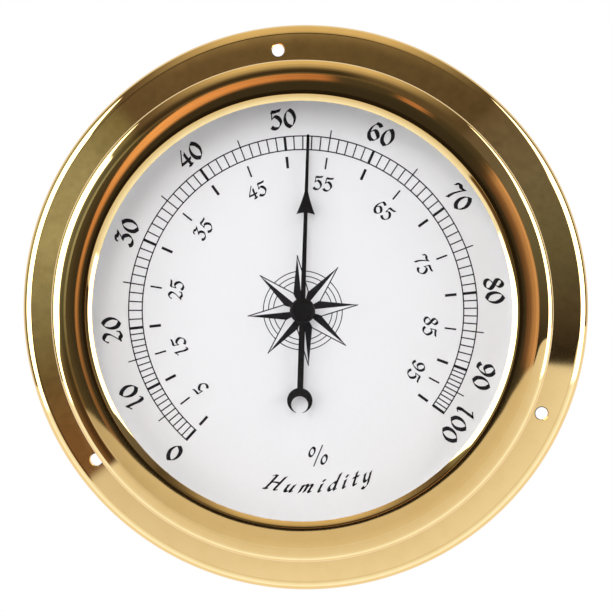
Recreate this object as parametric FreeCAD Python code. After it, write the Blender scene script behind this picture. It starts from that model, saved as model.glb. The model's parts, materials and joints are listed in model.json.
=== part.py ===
import FreeCAD, Part
import math
import os

from FreeCAD import Vector

# Dial hygrometer of the three-screw ship's pattern: a turned brass case with a wall flange,
# a screw-on brass bezel, a white dial under glass, and a humidity coil that turns the pointer.
#
# Sizes are in millimetres. Every piece is drawn facing up, with the wall at height 0 and the
# dial's axis as Z, and is then stood upright: the dial faces -Y, 12 o'clock is +Z and the
# origin is the centre of the wall face.

# Case shell
flange_r = 72.5
flange_thickness = 2.6
flange_edge_round = 2.3
drum_r = 60.0
drum_wall = 1.6
drum_height = 25.0
drum_root_round = 0.8
rim_chamfer = 0.4
wall_hole_r = 1.6
wall_hole_chamfer = 0.2
wall_hole_circle_r = 66.3
first_wall_hole = 90
air_hole_r = 1.6
air_hole_height = 7.8
air_hole_count = 5
air_hole_step = 7

# Front bezel: each crown arc is its radius and the lean of its surface at both ends,
# in degrees from facing straight forwards, outwards counted positive
bezel_r = 62.3
bezel_bore_r = 60.1
bezel_skirt_start = 13.0
bezel_shoulder = 34.0
bezel_crown_start = 34.9
bezel_crown = ((1.5, 90, 9), (13.4, 9, 0.05), (187, 0.05, -1.5), (4, -1.5, -27.6))
bezel_edge_chamfer = 0.5

# Stack under the bezel, from the drum's rim forwards
stack_r = 59.8
movement_plate_thickness = 1.2
dial_thickness = 0.7
spacer_inner_r = 53.5
glass_r = 59.6
glass_thickness = 2.0
glass_chamfer = 0.2
gasket_inner_r = 53.0
gasket_thickness = 0.6
plate_front = drum_height + movement_plate_thickness
dial_front = plate_front + dial_thickness
glass_front = bezel_shoulder - gasket_thickness
glass_back = glass_front - glass_thickness

# Locating pin, at 6 o'clock in the drum's rim
pin_r = 0.48
pin_hole_r = 0.5
pin_circle_r = 59.2
pin_depth = 4.0
pin_end_gap = 0.2

# Movement frame
pillar_r = 2.5
pillar_spacing = 44.0
pillar_thread_r = 1.25
pillar_thread_depth = 7.0
bridge_back = 9.0
bridge_thickness = 1.5
bridge_length = 54.0
bridge_width = 8.0
bridge_front = bridge_back + bridge_thickness
bridge_screw_clearance_r = 1.4
bridge_screw_head_r = 2.2
bridge_screw_head_height = 1.6
bridge_screw_tip_gap = 1.0
bridge_screw_thread_gap = 0.05
screw_slot_width = 0.6
screw_slot_depth = 0.6
head_round = 0.3

# Front bush and arbor
arbor_r = 0.75
arbor_pivot_r = 0.40
arbor_front = 29.6
bush_bore_r = 0.78
bush_r = 2.5
bush_flange_r = 4.0
bush_flange_thickness = 1.4
bush_nose_r = 2.0
bush_nose_length = 0.4

# Regulator: the slotted bush behind the arbor, with the arm that holds the coil's outer end
regulator_head_r = 3.6
regulator_head_back = 6.6
regulator_head_front = 8.6
regulator_r = 2.4
regulator_clearance = 0.05
regulator_slot_width = 0.9
regulator_slot_depth = 1.0
arm_back = 10.6
arm_front = 11.4
arm_hub_r = 4.2
arm_end_r = 1.9
pivot_bore_r = 0.43
pivot_bore_end = 8.2
end_float = 0.1
shoulder_gap = 0.2
washer_gap = 0.02
washer_r = 3.4

# Humidity coil: half turns about two centres, so that each is one arc
coil_strip = 0.35
coil_back = 14.0
coil_front = 19.0
coil_first_r = 3.25
coil_half_turns = 12
coil_centre_shift = 0.5
coil_tab_start = 1.4
coil_tail = 3.2
stud_r = 1.3
stud_front = 19.5
stud_y = 1.6
collet_r = 2.3
collet_back = 13.6
collet_front = 19.4
collet_slot_depth = 1.2
collet_slot_width = 0.45
coil_last_r = coil_first_r + coil_half_turns - 1
stud_x = coil_last_r + coil_centre_shift

# Pointer, drawn at 12 o'clock and then turned to its reading
pointer_reading = 7.8
pointer_back = 29.0
pointer_thickness = 0.4
pointer_front = pointer_back + pointer_thickness
pointer_tip = 44.0
pointer_tip_width = 0.7
pointer_root_width = 1.25
pointer_hub_r = 2.6
arrow_base = 24.0
arrow_apex = 31.8
arrow_half_width = 2.34
arrow_side_hollow = 0.25
arrow_base_hollow = 0.45
tail_width = 1.5
tail_length = 20.0
crescent_centre = 22.45
crescent_r = 3.17
crescent_bore_r = 2.1
crescent_bore_shift = 1.0
crescent_mouth = 1.6
hub_collet_r = 1.6
hub_collet_back = 27.6
hub_tenon_r = 1.0
hub_tenon_front = 29.8
cap_r = 3.2
cap_height = 1.0
cap_round = 0.35
cap_groove_r = 2.2
cap_groove_width = 0.3
cap_groove_depth = 0.12

# Back cover, its lugs and screws
cover_r = 58.2
cover_back = 3.0
cover_thickness = 2.0
cover_front = cover_back + cover_thickness
cover_edge_round = 0.6
calibration_hole_r = 4.5
vent_count = 16
vent_inner_r = 26.0
vent_outer_r = 44.0
vent_width = 2.2
lug_inner_r = 51.0
lug_width = 8.0
lug_height = 8.0
lug_thread_r = 1.5
cover_screw_circle_r = 54.5
cover_screw_r = 1.45
cover_screw_head_r = 2.6
cover_screw_head_height = 1.6
cover_screw_length = 9.0
cover_screw_hole_gap = 0.15


class Outline:
    """A closed outline drawn edge by edge, either flat or as half of a turned section."""

    def __init__(self, start, turned=False):
        self.turned = turned
        self.start = start
        self.here = start
        self.edges = []

    def place(self, point):
        if self.turned:
            return Vector(point[0], 0, point[1])
        return Vector(point[0], point[1], 0)

    def line(self, *points):
        for point in points:
            self.edges.append(Part.LineSegment(self.place(self.here), self.place(point)).toShape())
            self.here = point
        return self

    def bow(self, middle, end):
        """Draw an arc through a middle point."""
        arc = Part.Arc(self.place(self.here), self.place(middle), self.place(end))
        self.edges.append(arc.toShape())
        self.here = end
        return self

    def arc(self, centre, sweep):
        """Draw an arc about a centre, counter-clockwise when the sweep is positive."""
        away = (self.here[0] - centre[0], self.here[1] - centre[1])
        middle = turn(away, sweep / 2)
        end = turn(away, sweep)
        return self.bow(add(centre, middle), add(centre, end))

    def face(self):
        if math.dist(self.here, self.start) > 1e-6:
            self.line(self.start)
        return Part.Face(Part.Wire(self.edges))

    def solid(self, low=0.0, high=0.0):
        """Turn the outline about the dial's axis, or raise it from one height to another."""
        if self.turned:
            return outward(self.face().revolve(Vector(0, 0, 0), Vector(0, 0, 1), 360))
        face = self.face()
        face.translate(Vector(0, 0, low))
        return outward(face.extrude(Vector(0, 0, high - low)))


def turn(point, degrees):
    angle = math.radians(degrees)
    x = point[0] * math.cos(angle) - point[1] * math.sin(angle)
    y = point[0] * math.sin(angle) + point[1] * math.cos(angle)
    return (x, y)


def add(first, second):
    return (first[0] + second[0], first[1] + second[1])


def polar(radius, degrees):
    return turn((radius, 0), degrees)


def outward(shape):
    """Give a shape whose faces look inwards its proper side out."""
    return shape.reversed() if shape.Volume < 0 else shape


def disc(radius, low, high, centre=(0, 0)):
    return Part.makeCylinder(radius, high - low, Vector(centre[0], centre[1], low))


def ring(inner_r, outer_r, low, high, centre=(0, 0)):
    return disc(outer_r, low, high, centre).cut(disc(inner_r, low, high, centre))


def block(x_low, x_high, y_low, y_high, low, high):
    return Part.makeBox(x_high - x_low, y_high - y_low, high - low, Vector(x_low, y_low, low))


def around(shape, degrees):
    """A copy of a shape, turned about the dial's axis."""
    copy = shape.copy()
    copy.rotate(Vector(0, 0, 0), Vector(0, 0, 1), degrees)
    return copy


def three_around(shape):
    return [around(shape, step * 120) for step in range(3)]


def slotted_screw(centre, head_r, head_back, head_front, shank_r, tip):
    """A cheese-head screw driven in from the back, its slot in the back face."""
    outline = Outline((0, head_back), turned=True)
    outline.line((head_r - head_round, head_back))
    outline.arc((head_r - head_round, head_back + head_round), 90)
    outline.line((head_r, head_front), (shank_r, head_front), (shank_r, tip), (0, tip))
    screw = outline.solid()
    slot_half = screw_slot_width / 2
    slot = block(-head_r, head_r, -slot_half, slot_half, head_back, head_back + screw_slot_depth)
    screw = screw.cut(slot)
    screw.translate(Vector(centre[0], centre[1], 0))
    return screw


def make_case_shell():
    """Flange and drum turned in one piece, with screw holes, air holes and a pin hole."""
    drum_inner_r = drum_r - drum_wall
    round_centre = (flange_r - flange_edge_round, flange_thickness - flange_edge_round)
    root_centre = (drum_r + drum_root_round, flange_thickness + drum_root_round)
    outline = Outline((drum_inner_r, 0), turned=True)
    outline.line((flange_r, 0), (flange_r, round_centre[1]))
    outline.arc(round_centre, 90)
    outline.line((root_centre[0], flange_thickness))
    outline.arc(root_centre, -90)
    outline.line((drum_r, drum_height - rim_chamfer), (drum_r - rim_chamfer, drum_height))
    outline.line((drum_inner_r, drum_height))
    shell = outline.solid()
    hole = disc(wall_hole_r, 0, flange_thickness)
    chamfer_back = flange_thickness - wall_hole_chamfer
    countersink = Part.makeCone(wall_hole_r, wall_hole_r + wall_hole_chamfer, wall_hole_chamfer,
                                Vector(0, 0, chamfer_back))
    hole = hole.fuse(countersink)
    hole.translate(Vector(wall_hole_circle_r, 0, 0))
    for wall_hole in three_around(around(hole, first_wall_hole)):
        shell = shell.cut(wall_hole)
    for step in range(air_hole_count):
        angle = 270 + (step - (air_hole_count - 1) / 2) * air_hole_step
        start = Vector(drum_inner_r - drum_wall, 0, air_hole_height)
        drill = Part.makeCylinder(air_hole_r, 3 * drum_wall, start, Vector(1, 0, 0))
        shell = shell.cut(around(drill, angle))
    pin_place = (0, -pin_circle_r)
    return shell.cut(disc(pin_hole_r, drum_height - pin_depth, drum_height, pin_place))


def make_front_bezel():
    """Screw-on bezel: a plain skirt over the drum and a low crowned face with an inward lip."""
    outline = Outline((bezel_bore_r, bezel_skirt_start), turned=True)
    outline.line((bezel_r - bezel_edge_chamfer, bezel_skirt_start))
    outline.line((bezel_r, bezel_skirt_start + bezel_edge_chamfer), (bezel_r, bezel_crown_start))
    for radius, lean_from, lean_to in bezel_crown:
        lean = math.radians(lean_from)
        centre = add(outline.here, (-radius * math.sin(lean), -radius * math.cos(lean)))
        outline.arc(centre, lean_from - lean_to)
    outline.line((outline.here[0], bezel_shoulder), (bezel_bore_r, bezel_shoulder))
    return outline.solid()


def make_glass():
    outline = Outline((0, glass_back), turned=True)
    outline.line((glass_r - glass_chamfer, glass_back), (glass_r, glass_back + glass_chamfer))
    outline.line((glass_r, glass_front - glass_chamfer), (glass_r - glass_chamfer, glass_front))
    outline.line((0, glass_front))
    return outline.solid()


def pin_notch(low, high):
    """The notch at a plate's edge that the locating pin stands in."""
    slot = block(-pin_hole_r, pin_hole_r, -stack_r - 1, -pin_circle_r, low, high)
    return slot.fuse(disc(pin_hole_r, low, high, (0, -pin_circle_r)))


def make_movement_plate():
    return ring(bush_r, stack_r, drum_height, plate_front).cut(pin_notch(drum_height, plate_front))


def make_dial_plate():
    return ring(bush_r, stack_r, plate_front, dial_front).cut(pin_notch(plate_front, dial_front))


def make_locating_pin():
    return disc(pin_r, drum_height - pin_depth + pin_end_gap, dial_front, (0, -pin_circle_r))


def pillar_places():
    return [(side * pillar_spacing / 2, 0) for side in (-1, 1)]


def make_movement_pillars():
    pillars = []
    for place in pillar_places():
        thread = disc(pillar_thread_r, bridge_front, bridge_front + pillar_thread_depth, place)
        pillars.append(disc(pillar_r, bridge_front, drum_height, place).cut(thread))
    return pillars


def make_movement_bridge():
    """Bar across the pillars, with rounded ends and the bearing bore for the regulator."""
    half_width = bridge_width / 2
    end_centre = bridge_length / 2 - half_width
    outline = Outline((-end_centre, -half_width))
    outline.line((end_centre, -half_width))
    outline.arc((end_centre, 0), 180)
    outline.line((-end_centre, half_width))
    outline.arc((-end_centre, 0), 180)
    bridge = outline.solid(bridge_back, bridge_front)
    bridge = bridge.cut(disc(regulator_r + regulator_clearance, bridge_back, bridge_front))
    for place in pillar_places():
        bridge = bridge.cut(disc(bridge_screw_clearance_r, bridge_back, bridge_front, place))
    return bridge


def make_bridge_screws():
    head_back = bridge_back - bridge_screw_head_height
    shank_r = pillar_thread_r - bridge_screw_thread_gap
    tip = bridge_front + pillar_thread_depth - bridge_screw_tip_gap
    return [slotted_screw(place, bridge_screw_head_r, head_back, bridge_back, shank_r, tip)
            for place in pillar_places()]


def make_front_bush():
    """Flanged bush through plate and dial, the arbor's front bearing."""
    flange_back = drum_height - bush_flange_thickness
    nose_front = dial_front + bush_nose_length
    outline = Outline((bush_bore_r, flange_back), turned=True)
    outline.line((bush_flange_r, flange_back), (bush_flange_r, drum_height))
    outline.line((bush_r, drum_height), (bush_r, dial_front))
    outline.line((bush_nose_r, dial_front), (bush_nose_r, nose_front), (bush_bore_r, nose_front))
    return outline.solid()


def make_arbor():
    """Pointer arbor with a thinner pivot at its back end."""
    shoulder = arm_front + shoulder_gap
    pivot_end = pivot_bore_end + end_float
    outline = Outline((0, pivot_end), turned=True)
    outline.line((arbor_pivot_r, pivot_end), (arbor_pivot_r, shoulder), (arbor_r, shoulder))
    outline.line((arbor_r, arbor_front), (0, arbor_front))
    return outline.solid()


def make_regulator_bush():
    """Calibration screw: slotted head behind the bridge, blind pivot bore in front."""
    outline = Outline((0, regulator_head_back), turned=True)
    outline.line((regulator_head_r - head_round, regulator_head_back))
    outline.arc((regulator_head_r - head_round, regulator_head_back + head_round), 90)
    outline.line((regulator_head_r, regulator_head_front), (regulator_r, regulator_head_front))
    outline.line((regulator_r, arm_front), (pivot_bore_r, arm_front))
    outline.line((pivot_bore_r, pivot_bore_end), (0, pivot_bore_end))
    slot_half = regulator_slot_width / 2
    slot = block(-regulator_head_r, regulator_head_r, -slot_half, slot_half,
                 regulator_head_back, regulator_head_back + regulator_slot_depth)
    return outline.solid().cut(slot)


def make_regulator_arm():
    """Arm from the regulator's hub to the coil stud, tapering to a rounded end."""
    reach = math.hypot(stud_x, stud_y)
    lean = math.degrees(math.acos((arm_hub_r - arm_end_r) / reach))
    hub_tangent = polar(arm_hub_r, -lean)
    end_tangent = add((reach, 0), polar(arm_end_r, -lean))
    outline = Outline(hub_tangent)
    outline.line(end_tangent)
    outline.arc((reach, 0), 2 * lean)
    outline.line((hub_tangent[0], -hub_tangent[1]))
    outline.arc((0, 0), 360 - 2 * lean)
    arm = outline.solid(arm_back, arm_front).cut(disc(regulator_r, arm_back, arm_front))
    return around(arm, math.degrees(math.atan2(stud_y, stud_x)))


def make_friction_washer():
    return ring(regulator_r, washer_r, regulator_head_front, bridge_back - washer_gap)


def make_coil_stud():
    """Stud on the arm, slit to hold the coil's outer end."""
    stud = disc(stud_r, arm_front, stud_front, (stud_x, stud_y))
    slit = block(stud_x - coil_strip / 2, stud_x + coil_strip / 2,
                 stud_y - stud_r, stud_y + stud_r, coil_back, stud_front)
    return stud.cut(slit)


def make_humidity_coil():
    """Flat strip wound outwards from the collet's slot, its outer end in the stud."""
    half = coil_strip / 2
    inner_start = coil_first_r - coil_centre_shift
    outline = Outline((coil_tab_start, -half))
    outline.line((inner_start + half, -half), (inner_start + half, 0))
    for step in range(coil_half_turns):
        outline.arc((coil_centre_shift * (-1) ** (step + 1), 0), 180)
    outline.line((stud_x + half, coil_tail), (stud_x - half, coil_tail), (stud_x - half, 0))
    for step in reversed(range(1, coil_half_turns)):
        outline.arc((coil_centre_shift * (-1) ** (step + 1), 0), -180)
    first_inner_r = coil_first_r - half
    tab_reach = math.degrees(math.asin(half / first_inner_r))
    outline.arc((-coil_centre_shift, 0), tab_reach - 180)
    outline.line((coil_tab_start, half))
    return outline.solid(coil_back, coil_front)


def make_coil_collet():
    """Collet pressed on the arbor, slotted for the coil's inner end."""
    slot_half = collet_slot_width / 2
    slot = block(collet_slot_depth, collet_r + 1, -slot_half, slot_half, collet_back, collet_front)
    return ring(arbor_r, collet_r, collet_back, collet_front).cut(slot)


def make_pointer_collet():
    """Hub tube on the arbor, with a tenon that the blade and the cap sit on."""
    outline = Outline((arbor_r, hub_collet_back), turned=True)
    outline.line((hub_collet_r, hub_collet_back), (hub_collet_r, pointer_back))
    outline.line((hub_tenon_r, pointer_back), (hub_tenon_r, hub_tenon_front))
    outline.line((arbor_r, hub_tenon_front))
    return outline.solid()


def pointer_blade():
    """Thin blade from the hub to a rounded tip."""
    tip_half = pointer_tip_width / 2
    root_half = pointer_root_width / 2
    outline = Outline((root_half, 0))
    outline.line((tip_half, pointer_tip - tip_half))
    outline.arc((0, pointer_tip - tip_half), 180)
    outline.line((-root_half, 0))
    return outline.solid(pointer_back, pointer_front)


def pointer_arrow():
    """Arrowhead on the blade, with slightly hollow sides and base."""
    left_base = (-arrow_half_width, arrow_base)
    right_base = (arrow_half_width, arrow_base)
    apex = (0, arrow_apex)
    side_middle = (arrow_half_width / 2 - arrow_side_hollow, (arrow_base + arrow_apex) / 2)
    outline = Outline(left_base)
    outline.bow((0, arrow_base + arrow_base_hollow), right_base)
    outline.bow(side_middle, apex)
    outline.bow((-side_middle[0], side_middle[1]), left_base)
    return outline.solid(pointer_back, pointer_front)


def pointer_tail():
    """Counterweight: a stem that ends in a crescent, open away from the hub."""
    stem_half = tail_width / 2
    stem = block(-stem_half, stem_half, -tail_length, 0, pointer_back, pointer_front)
    crescent = disc(crescent_r, pointer_back, pointer_front, (0, -crescent_centre))
    bore_centre = (0, -crescent_centre - crescent_bore_shift)
    crescent = crescent.cut(disc(crescent_bore_r, pointer_back, pointer_front, bore_centre))
    mouth_half = crescent_mouth / 2
    mouth = block(-mouth_half, mouth_half, -crescent_centre - 2 * crescent_r, bore_centre[1],
                  pointer_back, pointer_front)
    return stem.fuse(crescent).cut(mouth)


def make_pointer():
    hub = disc(pointer_hub_r, pointer_back, pointer_front)
    whole = hub.multiFuse([pointer_blade(), pointer_arrow(), pointer_tail()]).removeSplitter()
    return whole.cut(disc(hub_tenon_r, pointer_back, pointer_front))


def make_pointer_cap():
    """Round hub cap with a softened edge and one fine turned groove."""
    cap_front = pointer_front + cap_height
    outline = Outline((hub_tenon_r, pointer_front), turned=True)
    outline.line((cap_r, pointer_front), (cap_r, cap_front - cap_round))
    outline.arc((cap_r - cap_round, cap_front - cap_round), 90)
    outline.line((cap_groove_r + cap_groove_width, cap_front))
    outline.line((cap_groove_r + cap_groove_width / 2, cap_front - cap_groove_depth))
    outline.line((cap_groove_r, cap_front), (0, cap_front), (0, hub_tenon_front))
    outline.line((hub_tenon_r, hub_tenon_front))
    return outline.solid()


def make_back_cover():
    """Moulded cover with radial air slots and a hole over the calibration screw."""
    rim_centre = (cover_r - cover_edge_round, cover_back + cover_edge_round)
    outline = Outline((calibration_hole_r, cover_back), turned=True)
    outline.line((rim_centre[0], cover_back))
    outline.arc(rim_centre, 90)
    outline.line((cover_r, cover_front), (calibration_hole_r, cover_front))
    cover = outline.solid()
    half = vent_width / 2
    vent = Outline((vent_inner_r + half, -half)).line((vent_outer_r - half, -half))
    vent.arc((vent_outer_r - half, 0), 180)
    vent.line((vent_inner_r + half, half))
    vent.arc((vent_inner_r + half, 0), 180)
    slot = vent.solid(cover_back, cover_front)
    for step in range(vent_count):
        cover = cover.cut(around(slot, (step + 0.5) * 360 / vent_count))
    hole_r = cover_screw_r + cover_screw_hole_gap
    hole = disc(hole_r, cover_back, cover_front, (cover_screw_circle_r, 0))
    for screw_hole in three_around(around(hole, first_wall_hole)):
        cover = cover.cut(screw_hole)
    return cover


def make_cover_lugs():
    """Three lugs inside the drum, tapped for the cover screws."""
    half = lug_width / 2
    lug = block(lug_inner_r, drum_r, -half, half, cover_front, cover_front + lug_height)
    lug = lug.common(disc(drum_r - drum_wall, cover_front, cover_front + lug_height))
    thread = disc(lug_thread_r, cover_front, cover_front + lug_height, (cover_screw_circle_r, 0))
    return three_around(around(lug.cut(thread), first_wall_hole))


def make_cover_screws():
    head_back = cover_back - cover_screw_head_height
    screw = slotted_screw((cover_screw_circle_r, 0), cover_screw_head_r, head_back, cover_back,
                          cover_screw_r, cover_back + cover_screw_length)
    return three_around(around(screw, first_wall_hole))


def at_reading(shape):
    """Turn a pointer piece clockwise from 12 o'clock to the humidity that it shows."""
    return around(shape, -pointer_reading)


nodes = {
    "case_shell": make_case_shell(),
    "cover_lugs": make_cover_lugs(),
    "locating_pin": make_locating_pin(),
    "front_bezel": make_front_bezel(),
    "bezel_gasket": ring(gasket_inner_r, glass_r, glass_front, bezel_shoulder),
    "glass": make_glass(),
    "spacer_ring": ring(spacer_inner_r, stack_r, dial_front, glass_back),
    "dial_plate": make_dial_plate(),
    "movement_plate": make_movement_plate(),
    "movement_pillars": make_movement_pillars(),
    "movement_bridge": make_movement_bridge(),
    "bridge_screws": make_bridge_screws(),
    "front_bush": make_front_bush(),
    "back_cover": make_back_cover(),
    "back_cover_screws": make_cover_screws(),
    "regulator_bush": make_regulator_bush(),
    "regulator_arm": make_regulator_arm(),
    "friction_washer": make_friction_washer(),
    "coil_stud": make_coil_stud(),
    "humidity_coil": make_humidity_coil(),
    "coil_collet": make_coil_collet(),
    "arbor": make_arbor(),
    "pointer_collet": make_pointer_collet(),
    "pointer": at_reading(make_pointer()),
    "pointer_cap": at_reading(make_pointer_cap()),
}

os.makedirs("parts", exist_ok=True)
for name, made in nodes.items():
    shape = Part.makeCompound(made) if isinstance(made, list) else made
    shape.rotate(Vector(0, 0, 0), Vector(1, 0, 0), 90)
    shape.exportStep(f"parts/{name}.step")
    print(f"{name}: {len(shape.Solids)} solid, {shape.Volume:.1f} mm3, valid {shape.isValid()}")
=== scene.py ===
"""Looks of the dial hygrometer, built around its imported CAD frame.

The dial faces -Y, 12 o'clock is +Z and the wall face lies at y = 0. Sizes are in metres;
the mm() helper turns millimetres into them. Angles on the dial run clockwise from 12 o'clock.
"""

import json
import math

import bmesh
import bpy
from mathutils import Matrix, Vector
from mathutils.geometry import tessellate_polygon


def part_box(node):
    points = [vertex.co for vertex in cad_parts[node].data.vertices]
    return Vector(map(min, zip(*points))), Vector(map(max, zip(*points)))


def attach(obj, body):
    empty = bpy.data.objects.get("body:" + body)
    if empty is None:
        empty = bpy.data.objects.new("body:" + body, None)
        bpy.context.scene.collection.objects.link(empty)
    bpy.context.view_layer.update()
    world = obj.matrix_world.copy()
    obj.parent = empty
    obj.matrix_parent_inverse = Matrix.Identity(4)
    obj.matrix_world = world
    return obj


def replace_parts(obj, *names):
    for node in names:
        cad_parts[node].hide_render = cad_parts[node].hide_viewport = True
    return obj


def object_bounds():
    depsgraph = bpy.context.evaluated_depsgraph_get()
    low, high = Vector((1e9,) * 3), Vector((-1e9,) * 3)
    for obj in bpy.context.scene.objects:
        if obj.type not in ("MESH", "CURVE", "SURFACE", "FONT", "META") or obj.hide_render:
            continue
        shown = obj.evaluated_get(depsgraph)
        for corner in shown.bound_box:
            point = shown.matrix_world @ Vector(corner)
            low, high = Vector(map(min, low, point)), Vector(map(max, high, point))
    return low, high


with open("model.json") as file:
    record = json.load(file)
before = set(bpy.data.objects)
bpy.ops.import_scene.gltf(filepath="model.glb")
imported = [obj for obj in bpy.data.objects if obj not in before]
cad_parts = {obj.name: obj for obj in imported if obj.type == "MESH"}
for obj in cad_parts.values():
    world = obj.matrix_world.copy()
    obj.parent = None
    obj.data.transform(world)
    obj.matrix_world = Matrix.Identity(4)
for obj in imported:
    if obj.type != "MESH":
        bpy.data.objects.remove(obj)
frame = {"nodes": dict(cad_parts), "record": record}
cad_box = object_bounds()


def mm(*values):
    """Millimetres to metres: one number, or a tuple of several."""
    scaled = tuple(value * 0.001 for value in values)
    return scaled if len(scaled) > 1 else scaled[0]


# Camera: a long lens a metre away, a little above and right of the dial's axis
camera_distance = 1.0
camera_azimuth = 1.5
camera_elevation = 1.3
camera_roll = 6.0
camera_lens = 229.0
camera_aim = Vector(mm(0.2, 0, 0.42))

# Scale of the dial: percent against degrees, straight between these points
scale_points = ((0, -132), (20, -90), (80, 90), (90, 116), (100, 132))
band_outer_r = mm(43.6)
band_inner_r = mm(40.2)
band_line = mm(0.30)
ten_line = mm(0.68)
five_reach = mm(1.8)
inner_tick_outer_r = mm(38.6)
inner_tick_inner_r = mm(35.7)
inner_ten_line = mm(0.68)
inner_five_line = mm(0.42)
tens_r = mm(48.1)
tens_height = mm(4.9)
fives_r = mm(32.1)
fives_height = mm(3.6)
percent_r = mm(36.5)
percent_height = mm(5.2)
legend_text = "Humidity"
legend_r = mm(43.6)
legend_height = mm(3.9)
legend_stretch = 1.34
legend_gap = 0.31
legend_slant = 0.66

# Compass rose: its black and white slabs start at the core, so that they share no edge
rose_points = 8
rose_tip_r = mm(13.9)
rose_waist_r = mm(4.9)
rose_core_r = mm(0.05)
rose_outline = mm(0.28)
rose_rings = mm(9.87, 8.6, 7.35)
rose_ring_line = mm(0.24)

# Ink stands a little proud of the dial, and reaches a little into it
ink_height = mm(0.03)
ink_root = mm(0.01)
ink_layer = mm(0.006)

dial_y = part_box("dial_plate")[0].y

# Case shell and front bezel, in millimetres, as in the CAD: heights stand forwards of the wall.
# Each crown arc is its radius and its surface's lean at both ends, in degrees outwards of
# straight forwards.
lathe_segments = 360
lathe_arc_steps = 24
drum_inner_r = 58.4
drum_r = 60.0
drum_height = 25.0
drum_root_round = 0.8
rim_chamfer = 0.4
flange_r = 72.5
flange_thickness = 2.6
flange_edge_round = 2.3
wall_hole_angles = (0, 120, 240)
wall_hole_circle_r = 66.3
wall_hole_r = 1.6
wall_hole_chamfer = 0.2
wall_hole_segments = 48
air_hole_angles = (166, 173, 180, 187, 194)
air_hole_height = 7.8
air_hole_r = 1.6
bezel_bore_r = 60.1
bezel_r = 62.3
bezel_skirt_start = 13.0
bezel_edge_chamfer = 0.5
bezel_shoulder = 34.0
bezel_crown_start = 34.9
bezel_crown = ((1.5, 90, 9), (13.4, 9, 0.05), (187, 0.05, -1.5), (4, -1.5, -27.6))

# Each air hole takes the place of a square block of cells, each one lathe segment wide
air_hole_cells = 7
air_hole_cell_height = 1.05

# Studio: the slopes, with signs turned, of the direction that the flat of the dial mirrors to
# the camera, then the brightness of the mirrored soft boxes, and the floor
mirror_side = 0.026
mirror_rise = 0.0227
mirrored_box = 4.2
floor_r = 0.95
floor_forward = 0.6
floor_drop = 0.06


# ---- shader helpers


class Net:
    """Short ways to add and join the nodes of one shader tree."""

    def __init__(self, owner):
        owner.use_nodes = True
        self.tree = owner.node_tree
        self.tree.nodes.clear()

    def add(self, kind, **settings):
        node = self.tree.nodes.new(kind)
        for name, value in settings.items():
            setattr(node, name, value)
        return node

    def feed(self, socket, value):
        """Link an output to a socket, or set the socket's own value."""
        if isinstance(value, bpy.types.NodeSocket):
            self.tree.links.new(value, socket)
        else:
            socket.default_value = value

    def math(self, operation, *values):
        node = self.add("ShaderNodeMath", operation=operation)
        for socket, value in zip(node.inputs, values):
            self.feed(socket, value)
        return node.outputs[0]

    def times(self, first, *others):
        """The product of several values."""
        for other in others:
            first = self.math("MULTIPLY", first, other)
        return first

    def minus(self, first, second):
        return self.math("SUBTRACT", first, second)

    def length(self, across, up):
        """The length of a vector of two parts."""
        return self.math("SQRT", self.math("MULTIPLY_ADD", across, across, self.times(up, up)))

    def ramp(self, value, low, high, low_out=0.0, high_out=1.0):
        """A smooth step from low_out to high_out as value goes from low to high."""
        node = self.add("ShaderNodeMapRange", interpolation_type="SMOOTHSTEP")
        for socket, given in zip(node.inputs, (value, low, high, low_out, high_out)):
            self.feed(socket, given)
        return node.outputs[0]

    def window(self, value, low, high, soft):
        """One inside a range and zero outside it, with soft edges."""
        rise = self.ramp(value, low - soft, low + soft)
        fall = self.ramp(value, high - soft, high + soft, 1.0, 0.0)
        return self.times(rise, fall)

    def bands(self, value, stops):
        """Colours or grey levels at given values, straight between them."""
        low, high = stops[0][0], stops[-1][0]
        node = self.add("ShaderNodeValToRGB")
        elements = node.color_ramp.elements
        for _ in stops[2:]:
            elements.new(1.0)
        for element, (place, colour) in zip(elements, stops):
            element.color = (*colour, 1.0) if isinstance(colour, tuple) else grey(colour)
            element.position = (place - low) / (high - low)
        share = self.math("DIVIDE", self.minus(value, low), high - low)
        self.feed(node.inputs[0], share)
        return node.outputs[0]

    def far_bands(self, value, stops):
        """Bands spaced by the value's logarithm, which keeps the stops at small values apart."""
        power = self.math("LOGARITHM", value, 10.0)
        return self.bands(power, [(math.log10(place), colour) for place, colour in stops])

    def mix(self, share, first, second):
        node = self.add("ShaderNodeMix", data_type="RGBA")
        self.feed(node.inputs[0], share)
        self.feed(node.inputs[6], first)
        self.feed(node.inputs[7], second)
        return node.outputs[2]

    def scaled(self, colour, factor):
        node = self.add("ShaderNodeVectorMath", operation="SCALE")
        self.feed(node.inputs[0], colour)
        self.feed(node.inputs["Scale"], factor)
        return node.outputs[0]

    def noise(self, vector, scale, detail=2.0, dimensions="3D"):
        node = self.add("ShaderNodeTexNoise", noise_dimensions=dimensions)
        node.inputs["Scale"].default_value = scale
        node.inputs["Detail"].default_value = detail
        self.feed(node.inputs["W" if dimensions == "1D" else "Vector"], vector)
        return node.outputs[0]

    def split(self, vector):
        node = self.add("ShaderNodeSeparateXYZ")
        self.feed(node.inputs[0], vector)
        return node.outputs[0], node.outputs[1], node.outputs[2]

    def bump(self, height, distance, strength=1.0):
        node = self.add("ShaderNodeBump")
        node.inputs["Strength"].default_value = strength
        node.inputs["Distance"].default_value = distance
        self.feed(node.inputs["Height"], height)
        return node.outputs[0]

    def place(self):
        return self.add("ShaderNodeTexCoord").outputs["Object"]


def principled(net, **values):
    """The tree's Principled shader, with sockets set or linked by name."""
    shader = net.add("ShaderNodeBsdfPrincipled")
    for name, value in values.items():
        net.feed(shader.inputs[name.replace("_", " ")], value)
    out = net.add("ShaderNodeOutputMaterial")
    net.tree.links.new(shader.outputs[0], out.inputs[0])


def grey(level):
    return (level, level, level, 1.0)


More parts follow.
